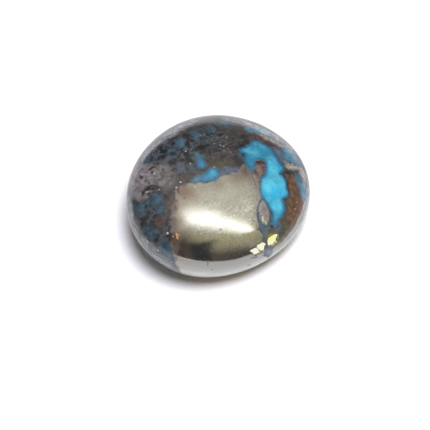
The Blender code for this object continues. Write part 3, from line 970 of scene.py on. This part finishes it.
def make_stone(grid, maps):
    mesh = bpy.data.meshes.new("stone_surface")
    mesh.from_pydata((grid.points + grid.shift).tolist(), [], grid.faces)
    mesh.shade_smooth()
    for name, values in maps.items():
        store = mesh.attributes.new(name, "FLOAT", "POINT")
        store.data.foreach_set("value", values.astype(np.float32))
    mesh.materials.append(make_material())
    stone = bpy.data.objects.new("stone_surface", mesh)
    bpy.context.scene.collection.objects.link(stone)
    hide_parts(STONE_NODE)
    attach(stone, "root")
    return stone


def add_camera(girdle_middle):
    data = bpy.data.cameras.new("camera")
    data.sensor_width = SENSOR_WIDTH
    data.lens = SENSOR_WIDTH * FOCAL_PIXELS / PHOTO_SIZE
    data.clip_start = 0.01
    data.clip_end = 50.0
    camera = bpy.data.objects.new("camera", data)
    camera.matrix_world = camera_matrix(girdle_middle)
    bpy.context.scene.collection.objects.link(camera)
    bpy.context.scene.camera = camera


def add_floor():
    half = FLOOR_SIDE / 2
    corners = [(-half, -half, 0), (half, -half, 0), (half, half, 0), (-half, half, 0)]
    mesh = bpy.data.meshes.new("floor")
    mesh.from_pydata(corners, [], [(0, 1, 2, 3)])
    material = bpy.data.materials.new("white_sheet")
    material.use_nodes = True
    shader = material.node_tree.nodes["Principled BSDF"]
    shader.inputs["Base Color"].default_value = (FLOOR_ALBEDO, FLOOR_ALBEDO, FLOOR_ALBEDO, 1.0)
    shader.inputs["Roughness"].default_value = 1.0
    shader.inputs["Specular IOR Level"].default_value = 0.0
    mesh.materials.append(material)
    floor = bpy.data.objects.new("floor", mesh)
    bpy.context.scene.collection.objects.link(floor)


def add_fill_light():
    """A wide soft light high above that whitens the sheet and isn't mirrored in the polish."""
    data = bpy.data.lights.new("fill", "AREA")
    data.shape = "DISK"
    data.size = FILL_WIDTH
    data.color = FILL_COLOUR
    data.energy = FILL_RADIANCE * math.pi * math.pi * (FILL_WIDTH / 2) ** 2
    light = bpy.data.objects.new("fill", data)
    light.location = room_vector(*FILL_PLACE, FILL_HEIGHT)
    light.visible_glossy = False
    bpy.context.scene.collection.objects.link(light)


def add_world():
    """A dim room: dark near the floor, beige above, brighter behind the stone than at the camera."""
    world = bpy.data.worlds.new("room")
    world.use_nodes = True
    bpy.context.scene.world = world
    graph = Graph(world.node_tree)
    direction = graph.nodes.new("ShaderNodeTexCoord").outputs["Generated"]

    def facing(vector):
        node = graph.nodes.new("ShaderNodeVectorMath")
        node.operation = "DOT_PRODUCT"
        graph.links.new(direction, node.inputs[0])
        node.inputs[1].default_value = vector.normalized()
        return node.outputs["Value"]

    height = facing(Vector((0, 0, 1)))
    back = facing(room_vector(0.0, 1.0, 0.0))
    side = facing(room_vector(1.0, 0.0, 0.0))
    slant = graph.math("MULTIPLY_ADD", side, 0.75, graph.math("SUBTRACT", height, 0.235))
    front = graph.mix(graph.smooth(slant, 0.49, 1.08), ROOM_FRONT_LOW, ROOM_FRONT_HIGH)
    middle = graph.math("MULTIPLY", graph.smooth(side, -0.35, -0.02), graph.smooth(side, 0.85, 0.65))
    wall = graph.mix(graph.smooth(height, 0.2, 0.8), ROOM_FLOOR, ROOM_WALL)
    ceiling = graph.math("MULTIPLY", graph.smooth(height, 0.64, 0.93), middle)
    rear = graph.mix(ceiling, wall, ROOM_CEILING)
    room = graph.mix(graph.smooth(back, -0.3, 0.2), front, rear)
    beside = graph.math("MULTIPLY", graph.smooth(side, 0.55, 0.85), graph.smooth(back, -0.25, 0.15))
    room = graph.mix(beside, room, ROOM_RIGHT)
    across = graph.math("ABSOLUTE", graph.math("SUBTRACT", side, 0.12))
    blot = graph.math("MULTIPLY", graph.smooth(across, 0.23, 0.10), graph.smooth(height, 0.97, 0.88))
    blot = graph.math("MULTIPLY", blot, graph.smooth(back, -0.22, -0.38))
    room = graph.mix(graph.math("MULTIPLY", blot, 0.95), room, ROOM_BLOT)

    # The sheet rises a little at the left, so its edge is mirrored above the horizon there
    rise = graph.math("MULTIPLY_ADD", side, 0.3, height)
    edge = graph.math("MULTIPLY", graph.smooth(rise, 0.205, 0.18), graph.smooth(side, 0.6, 0.45))
    edge = graph.math("MULTIPLY", edge, graph.smooth(back, -0.3, -0.6))
    room = graph.mix(edge, room, ROOM_SHEET)

    # The strip: how far a direction lies off the strip's bent middle, narrowing to the right
    above = graph.math("MAXIMUM", height, 0.2)
    rightward = graph.math("DIVIDE", side, above)
    backward = graph.math("DIVIDE", back, above)
    rest = graph.math("MULTIPLY_ADD", rightward, -1 / STRIP_END, 1.0)
    bend = graph.math("MULTIPLY", graph.math("MULTIPLY", rest, rest), STRIP_BEND)
    offset = graph.math("SUBTRACT", backward, graph.math("ADD", bend, STRIP_DROP))
    taper = graph.math("MAXIMUM", graph.smooth(rightward, 1.2, 0.6), 0.05)
    offset = graph.math("DIVIDE", graph.math("ABSOLUTE", offset), taper)
    strip = graph.smooth(offset, STRIP_SPREAD, 0.0)
    ends = graph.math("MULTIPLY", graph.smooth(rightward, -0.085, 0.0), graph.smooth(rightward, 1.0, 0.88))
    ends = graph.math("MULTIPLY", ends, graph.smooth(backward, 0.50, 0.39))
    strip = graph.math("MULTIPLY", graph.math("MULTIPLY", strip, ends), graph.smooth(height, 0.3, 0.5))
    light = graph.mix(graph.smooth(rightward, 0.15, 0.55), STRIP_LEFT, STRIP_RIGHT)
    room = graph.mix(strip, room, light)
    graph.links.new(room, graph.nodes["Background"].inputs["Color"])


def main():
    grid = Grid()
    photo = Photo(grid)
    maps = {
        "turquoise": area_map(grid, photo, TURQUOISE),
        "dull_turquoise": area_map(grid, photo, DULL_TURQUOISE),
        "teal": area_map(grid, photo, TEAL),
        "slate": area_map(grid, photo, SLATE),
        "purple_grey": area_map(grid, photo, PURPLE_GREY),
        "red_brown": area_map(grid, photo, RED_BROWN),
        "limonite": area_map(grid, photo, LIMONITE),
        "olive": area_map(grid, photo, OLIVE),
        "tan": area_map(grid, photo, TAN),
        "brown": area_map(grid, photo, BROWN),
        "pyrite": area_map(grid, photo, PYRITE),
        "crystal": area_map(grid, photo, CRYSTALS),
        "vein": line_map(grid, photo, VEINS),
        "crack": line_map(grid, photo, CRACKS),
        # Where the sheet's reflection is painted along the rim
        "rim": line_map(grid, photo, PAINTED_RIM_REFLECTION),
        "pit": line_map(grid, photo, PITS),
        "black_spot": line_map(grid, photo, BLACK_SPOTS),
        "painted_glint": line_map(grid, photo, PAINTED_GLINTS),
        "painted_highlight": glow_map(grid, photo, PAINTED_HIGHLIGHT_SPOTS),
        "copper": line_map(grid, photo, COPPER),
        "copper_painted_glint": line_map(grid, photo, COPPER_PAINTED_GLINTS),
        "bright": glow_map(grid, photo, BRIGHT_SPOTS),
        "cool": glow_map(grid, photo, COOL_SPOTS),
        "frost": glow_map(grid, photo, FROST_SPOTS),
        "tarnish": glow_map(grid, photo, TARNISH_SPOTS),
        "lilac": glow_map(grid, photo, LILAC_SPOTS),
        "gilt": glow_map(grid, photo, GILT_SPOTS),
        "upward": grid.normals[:, 2],
        "hidden": hidden_share(grid, photo),
    }
    ripple(grid)
    press_facets(grid, photo)
    press_pits(grid, maps["pit"])
    make_stone(grid, maps)
    add_camera(Vector(grid.shift.tolist()))
    add_floor()
    add_fill_light()
    add_world()
    view = bpy.context.scene.view_settings
    view.view_transform = "Standard"
    view.look = "None"


main()
